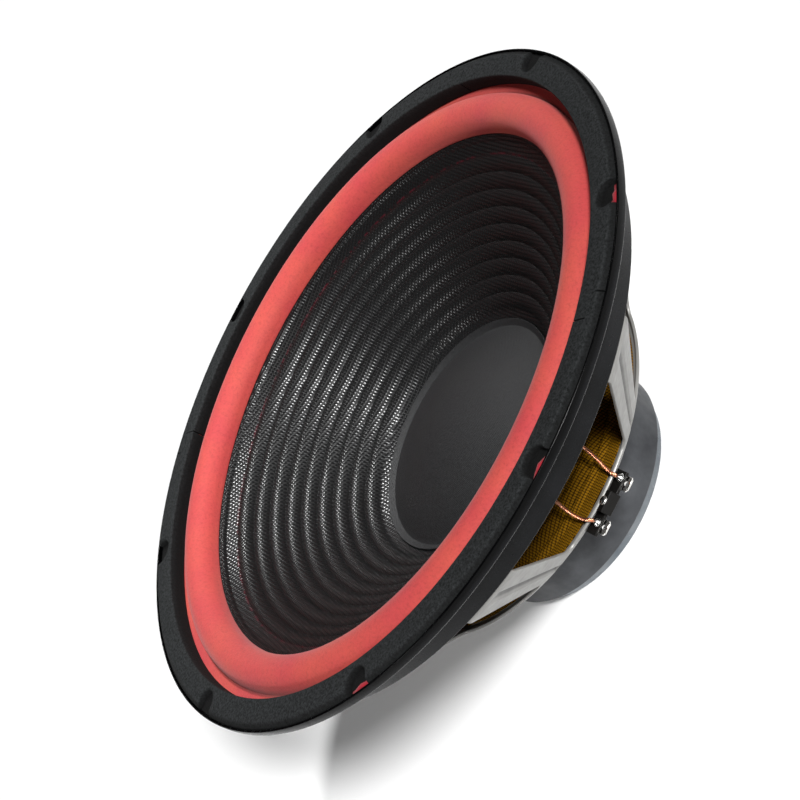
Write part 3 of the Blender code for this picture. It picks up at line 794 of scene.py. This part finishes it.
# Terminal board. A strip of black phenolic under the edge of the shelf, with a raised middle block,
# a rivet, and two tinned push-on tabs pointing outwards.
BOARD_LOW = 42.6
TAB_LOW = 41.5
TAB_SHEET = 0.8
TAB_PLACES = (("positive", 10.0), ("negative", -9.4))
TAB_OUTLINE = [(79.0, -3.15), (90.6, -3.15), (91.8, -2.1), (91.8, 2.1), (90.6, 3.15), (79.0, 3.15)]
TAB_HOLE = 0.9
TAB_HOLE_X = 88.9
RIVET_MIDDLE = (89.0, 0.0, 48.2)
RIVET_SIZE = (2.0, 2.0, 1.1)
RIVET_FLAT = 48.1
phenolic, tree, shader = new_finish("black_phenolic", 0.38, color=(0.006, 0.0055, 0.005))
shader.inputs["Specular IOR Level"].default_value = 0.15
tree.links.new(ramp(tree, noise(tree, 2.5, 4), [(0.3, 0.3), (0.7, 0.5)]), shader.inputs["Roughness"])
bump(tree, shader, noise(tree, 0.5, 3), 0.02, 0.6)


def squeezed(middle, size):
    """Places a unit shape round this middle and stretches it to this size, in millimetres."""
    return Matrix.Translation(Vector(middle) * MM) @ Matrix.Diagonal((*(Vector(size) * MM), 1))


def keep_above(bm, height):
    """Cuts the shape off flat at this height in millimetres and closes its foot."""
    bmesh.ops.bisect_plane(
        bm, geom=bm.verts[:] + bm.edges[:] + bm.faces[:], plane_co=(0, 0, height * MM),
        plane_no=(0, 0, 1), clear_inner=True,
    )
    bmesh.ops.holes_fill(bm, edges=[e for e in bm.edges if e.is_boundary])


def block(bm, low, high):
    """A box from one corner to the other, in millimetres."""
    size = Vector(high) - Vector(low)
    middle = (Vector(high) + Vector(low)) / 2
    bmesh.ops.create_cube(bm, size=1.0, matrix=squeezed(middle, size))


bm = bmesh.new()
block(bm, (77.0, -14.2, BOARD_LOW), (88.7, 14.2, 44.1))
board = settle("terminal_strip", bm, phenolic)
bm = bmesh.new()
block(bm, (87.4, -4.6, BOARD_LOW), (90.6, 4.6, 48.0))
middle = settle("terminal_middle", bm, phenolic)
for piece in (board, middle):
    soften(piece, 0.3, 3)
    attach(piece, "chassis")
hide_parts("terminal_board")

bm = bmesh.new()
egg = squeezed(RIVET_MIDDLE, RIVET_SIZE)
bmesh.ops.create_uvsphere(bm, u_segments=24, v_segments=12, radius=1.0, matrix=egg)
keep_above(bm, RIVET_FLAT)
rivet = settle("terminal_rivet_head", bm, tin)
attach(rivet, "chassis")
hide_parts("terminal_rivet")
for name, y in TAB_PLACES:
    bm = bmesh.new()
    placed = [((x * MM, (y + side) * MM, TAB_LOW * MM)) for x, side in TAB_OUTLINE]
    face = bm.faces.new([bm.verts.new(place) for place in placed])
    grown = bmesh.ops.extrude_face_region(bm, geom=[face])
    top = [v for v in grown["geom"] if isinstance(v, bmesh.types.BMVert)]
    bmesh.ops.translate(bm, verts=top, vec=(0, 0, TAB_SHEET * MM))
    tab = settle(f"push_on_tab_{name}", bm, tin)
    carve(tab, posts("tab_cutter", TAB_HOLE, 40, 44, [(TAB_HOLE_X, y)], 24))
    soften(tab, 0.15, 2)
    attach(tab, "chassis")
    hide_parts(f"terminal_tab_{name}")

# Solder joints. A bright blob on each tab's tongue where the lead's end is soldered down.
BLOB_PLACES = (("positive", 11.0), ("negative", -8.8))
BLOB_X = 86.9
BLOB_Z = 44.4
BLOB_SIZE = (1.7, 2.0, 1.9)
BLOB_DRAW = 0.45
solder, tree, shader = new_finish("bright_solder", 0.2, 1.0, (0.82, 0.82, 0.8))
bump(tree, shader, noise(tree, 1.6, 3), 0.15, 0.6)
for name, y in BLOB_PLACES:
    bm = bmesh.new()
    egg = squeezed((BLOB_X, y, BLOB_Z), BLOB_SIZE)
    bmesh.ops.create_icosphere(bm, subdivisions=4, radius=1.0, matrix=egg)
    for vert in bm.verts:
        lift = max(0.0, vert.co.z - BLOB_Z * MM) / (BLOB_SIZE[2] * MM)
        vert.co.x += (BLOB_X * MM - vert.co.x) * BLOB_DRAW * lift
        vert.co.y += (y * MM - vert.co.y) * BLOB_DRAW * lift
    keep_above(bm, BLOB_Z - 0.1)
    blob = settle(f"solder_blob_{name}", bm, solder, 60)
    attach(blob, "chassis")
    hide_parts(f"solder_joint_{name}")

# Tinsel leads. Two flexible ropes of six copper strands laid round a core, soldered at the board
# and arching up to eyelets on the cone's back, so that they flex with it.
LEAD_DIAMETER = 1.6
STRANDS = 6
STRAND_RADIUS = 0.3
STRAND_LAY = 6.0
LEAD_POINTS = {
    "positive": [
        (87.2, 10.9, 46.9), (86.4, 11.1, 48.6), (84.5, 11.5, 49.7), (82.3, 12.3, 51.4),
        (80.0, 13.4, 53.6), (77.0, 14.5, 55.9), (73.4, 15.3, 58.8), (70.8, 15.8, 63.0),
        (69.8, 16.0, 68.0), (69.6, 16.0, 71.2),
    ],
    "negative": [
        (87.2, -8.9, 46.9), (86.4, -9.6, 48.6), (84.4, -10.3, 49.7), (82.2, -10.6, 51.2),
        (80.0, -10.5, 53.4), (77.2, -9.8, 56.0), (74.2, -8.9, 58.8), (71.6, -8.5, 63.0),
        (70.6, -8.4, 68.0), (70.4, -8.4, 71.2),
    ],
}
COPPER = (0.86, 0.42, 0.26)
COPPER_DULL = (0.55, 0.2, 0.1)
copper, tree, shader = new_finish("bare_copper", 0.34, 1.0)
tarnish = ramp(tree, noise(tree, 1.2, 3), [(0.3, COPPER_DULL), (0.7, COPPER)])
tree.links.new(tarnish, shader.inputs["Base Color"])
bump(tree, shader, noise(tree, 0.25, 2), 0.03, 0.7)


def smooth_route(points, steps=8):
    """A smooth curve through the points."""
    route = []
    path = [Vector(p) for p in points]
    for i, (a, b) in enumerate(zip(path, path[1:])):
        before = path[max(i - 1, 0)]
        after = path[min(i + 2, len(path) - 1)]
        for s in range(steps):
            t = s / steps
            route.append(
                0.5 * (2 * a + (b - before) * t + (2 * before - 5 * a + 4 * b - after) * t * t
                       + (3 * a - before - 3 * b + after) * t ** 3)
            )
    return [*route, path[-1]]


for name, points in LEAD_POINTS.items():
    route = smooth_route(points)
    rope = bpy.data.curves.new(f"rope_{name}", "CURVE")
    rope.dimensions = "3D"
    rope.bevel_depth = STRAND_RADIUS * MM
    rope.bevel_resolution = 2
    rope.use_fill_caps = True
    for strand in range(STRANDS + 1):
        spline = rope.splines.new("POLY")
        spline.points.add(len(route) - 1)
        gone = 0.0
        for i, centre in enumerate(route):
            ahead = (route[min(i + 1, len(route) - 1)] - route[max(i - 1, 0)]).normalized()
            across = ahead.cross(Vector((0, 1, 0))).normalized()
            beside = ahead.cross(across)
            turn = math.tau * (gone / STRAND_LAY + strand / STRANDS)
            reach = 0.0 if strand == STRANDS else LEAD_DIAMETER / 2 - STRAND_RADIUS
            place = centre + (across * math.cos(turn) + beside * math.sin(turn)) * reach
            spline.points[i].co = (*(place * MM), 1.0)
            if i + 1 < len(route):
                gone += (route[i + 1] - centre).length
    maker = bpy.data.objects.new(f"rope_{name}", rope)
    bpy.context.scene.collection.objects.link(maker)
    bpy.context.view_layer.update()
    shown = maker.evaluated_get(bpy.context.evaluated_depsgraph_get())
    mesh = bpy.data.meshes.new_from_object(shown)
    bpy.data.objects.remove(maker, do_unlink=True)
    mesh.materials.clear()
    mesh.materials.append(copper)
    mesh.shade_smooth()
    lead = bpy.data.objects.new(f"tinsel_rope_{name}", mesh)
    bpy.context.scene.collection.objects.link(lead)
    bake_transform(lead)
    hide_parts(f"tinsel_lead_{name}")
    dress(f"lead_eyelet_{name}", tin)

# Studio. A pale floor under the magnet, a broad soft-edged sun in front, a narrow soft spot from
# above for the gloss on the cone's ribs, a weaker one from the side, and a faint white surround.
FLOOR_RADIUS = 6.0
FLOOR_GAP = 0.0002
floor_paint, tree, shader = new_finish("pale_floor", 0.9, color=(0.9, 0.9, 0.9))
shader.inputs["Emission Color"].default_value = (1.0, 1.0, 1.0, 1.0)
shader.inputs["Emission Strength"].default_value = 0.06
bm = bmesh.new()
bmesh.ops.create_circle(bm, cap_ends=True, segments=96, radius=FLOOR_RADIUS)
floor = settle("studio_floor", bm, floor_paint, outward=False)
floor.data.transform(Matrix.Translation((0, 0, -FLOOR_GAP)))
floor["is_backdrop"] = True


def soft_light(name, kind, toward, distance, power, target=(0, 0, 0.08), **settings):
    """A light in this direction from the target, facing it."""
    lamp = bpy.data.lights.new(name, kind)
    lamp.energy = power
    for key, value in settings.items():
        setattr(lamp, key, value)
    made = bpy.data.objects.new(name, lamp)
    bpy.context.scene.collection.objects.link(made)
    direction = Vector(toward).normalized()
    made.location = Vector(target) + direction * distance
    made.rotation_euler = direction.to_track_quat("Z", "Y").to_euler()


soft_light(
    "front_light", "SUN", toward=(0.774, 0.22, 0.6), distance=2.0, power=5.2,
    angle=math.radians(11),
)
soft_light(
    "overhead_light", "SPOT", toward=(-0.257, 0.555, 0.789), distance=1.3, power=160,
    target=(-0.052, -0.043, 0.09), spot_size=math.radians(11.5), spot_blend=0.9,
    shadow_soft_size=0.14,
)
soft_light(
    "side_light", "SPOT", toward=(0.25, -0.8, 0.5), distance=1.6, power=70,
    target=(0.0, 0.06, 0.1), spot_size=math.radians(14), spot_blend=0.9, shadow_soft_size=0.25,
)
world = bpy.data.worlds.new("studio_white")
world.use_nodes = True
surroundings = world.node_tree.nodes["Background"]
surroundings.inputs["Color"].default_value = (1.0, 1.0, 1.0, 1.0)
surroundings.inputs["Strength"].default_value = 0.1
bpy.context.scene.world = world
bpy.context.scene.view_settings.view_transform = "Standard"

CAMERA_PLACE = Vector((0.7433, -0.0088, 0.4999))
CAMERA_RIGHT = Vector((0.42330, 0.45716, -0.78219))
CAMERA_UP = Vector((-0.20844, 0.88934, 0.40698))
camera_data = bpy.data.cameras.new("camera")
camera_data.lens = 90
camera_data.sensor_width = 36
camera = bpy.data.objects.new("camera", camera_data)
bpy.context.scene.collection.objects.link(camera)
axes = Matrix((CAMERA_RIGHT, CAMERA_UP, CAMERA_RIGHT.cross(CAMERA_UP))).transposed()
camera.matrix_world = Matrix.Translation(CAMERA_PLACE) @ axes.to_4x4()
bpy.context.scene.camera = camera

low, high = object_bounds()
